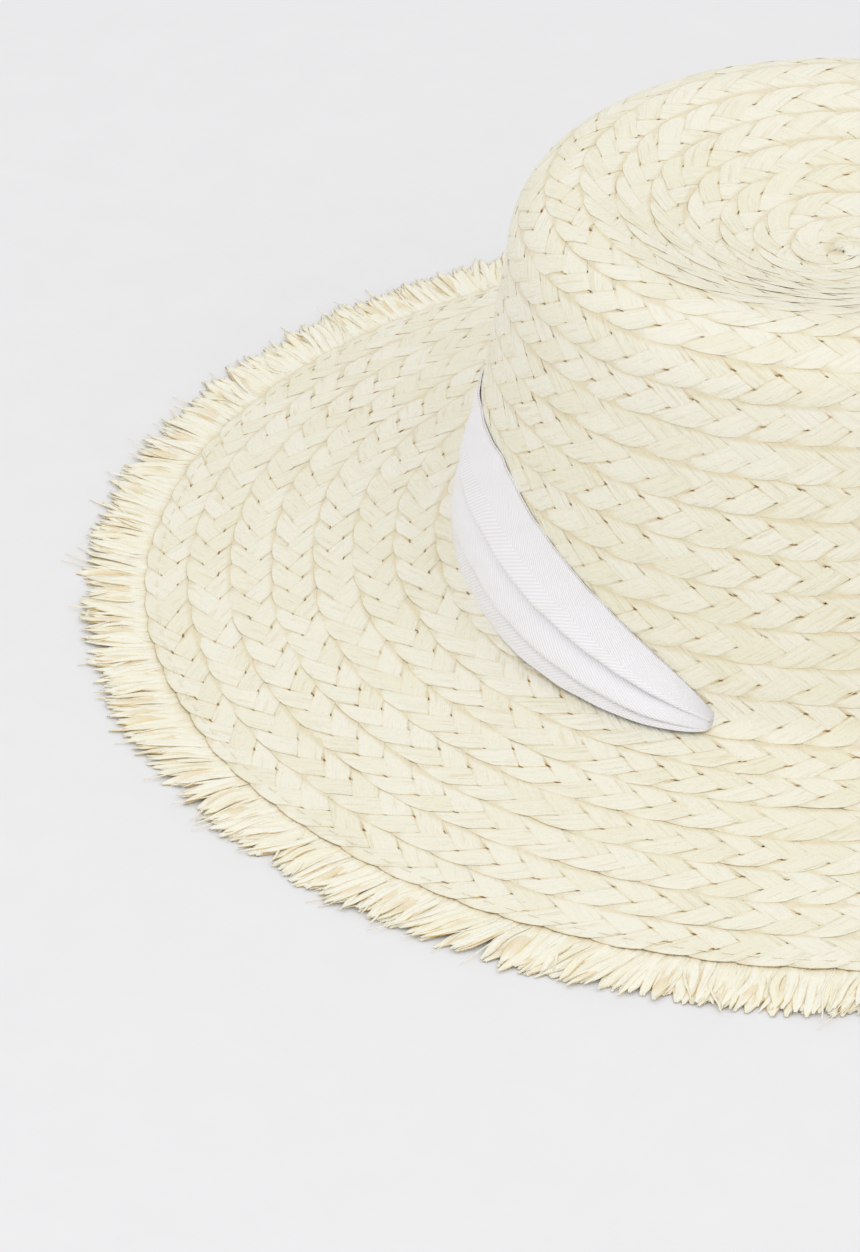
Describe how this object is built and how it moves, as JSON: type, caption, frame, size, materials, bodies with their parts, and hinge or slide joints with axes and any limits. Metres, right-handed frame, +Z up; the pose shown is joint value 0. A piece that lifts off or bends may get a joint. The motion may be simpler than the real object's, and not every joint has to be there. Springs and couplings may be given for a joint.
{
  "type": "straw sun hat",
  "caption": "Flat-topped straw sun hat sewn from a spiral of plaited braid, with a wide brim, a frayed fringe, a cotton tape at the crown's foot and an inner sweatband.",
  "frame": {"origin": "middle of the hat's underside, on the surface that it stands on", "axes": "+Z up along the crown's axis, -Y the front of the hat, +X the wearer's left"},
  "size_m": [0.3769, 0.377, 0.1138],
  "materials": {
    "braid_straw": "satin plaited straw",
    "fringe_straw": "satin frayed straw",
    "white_tape": "matt herringbone cotton",
    "sweatband_cloth": "matt ribbed",
    "thread": "matt"
  },
  "bodies": {
    "root": {"tip_round_01": "braid_straw", "tip_round_02": "braid_straw", "tip_round_03": "braid_straw", "tip_round_04": "braid_straw", "tip_round_05": "braid_straw", "tip_round_06": "braid_straw", "tip_round_07": "braid_straw", "tip_round_08": "braid_straw", "tip_round_09": "braid_straw", "wall_round_01": "braid_straw", "wall_round_02": "braid_straw", "wall_round_03": "braid_straw", "wall_round_04": "braid_straw", "wall_round_05": "braid_straw", "wall_round_06": "braid_straw", "wall_round_07": "braid_straw", "wall_round_08": "braid_straw", "wall_round_09": "braid_straw", "wall_round_10": "braid_straw", "brim_round_01": "braid_straw", "brim_round_02": "braid_straw", "brim_round_03": "braid_straw", "brim_round_04": "braid_straw", "brim_round_05": "braid_straw", "brim_round_06": "braid_straw", "brim_round_07": "braid_straw", "brim_round_08": "braid_straw", "fringe": "fringe_straw", "cotton_tape": "white_tape", "sweatband": "sweatband_cloth", "sweatband_seam_tape": "sweatband_cloth", "sweatband_stitching": "thread", "fringe_stitching": "thread", "tape_tacks": "thread"}
  },
  "joints": []
}
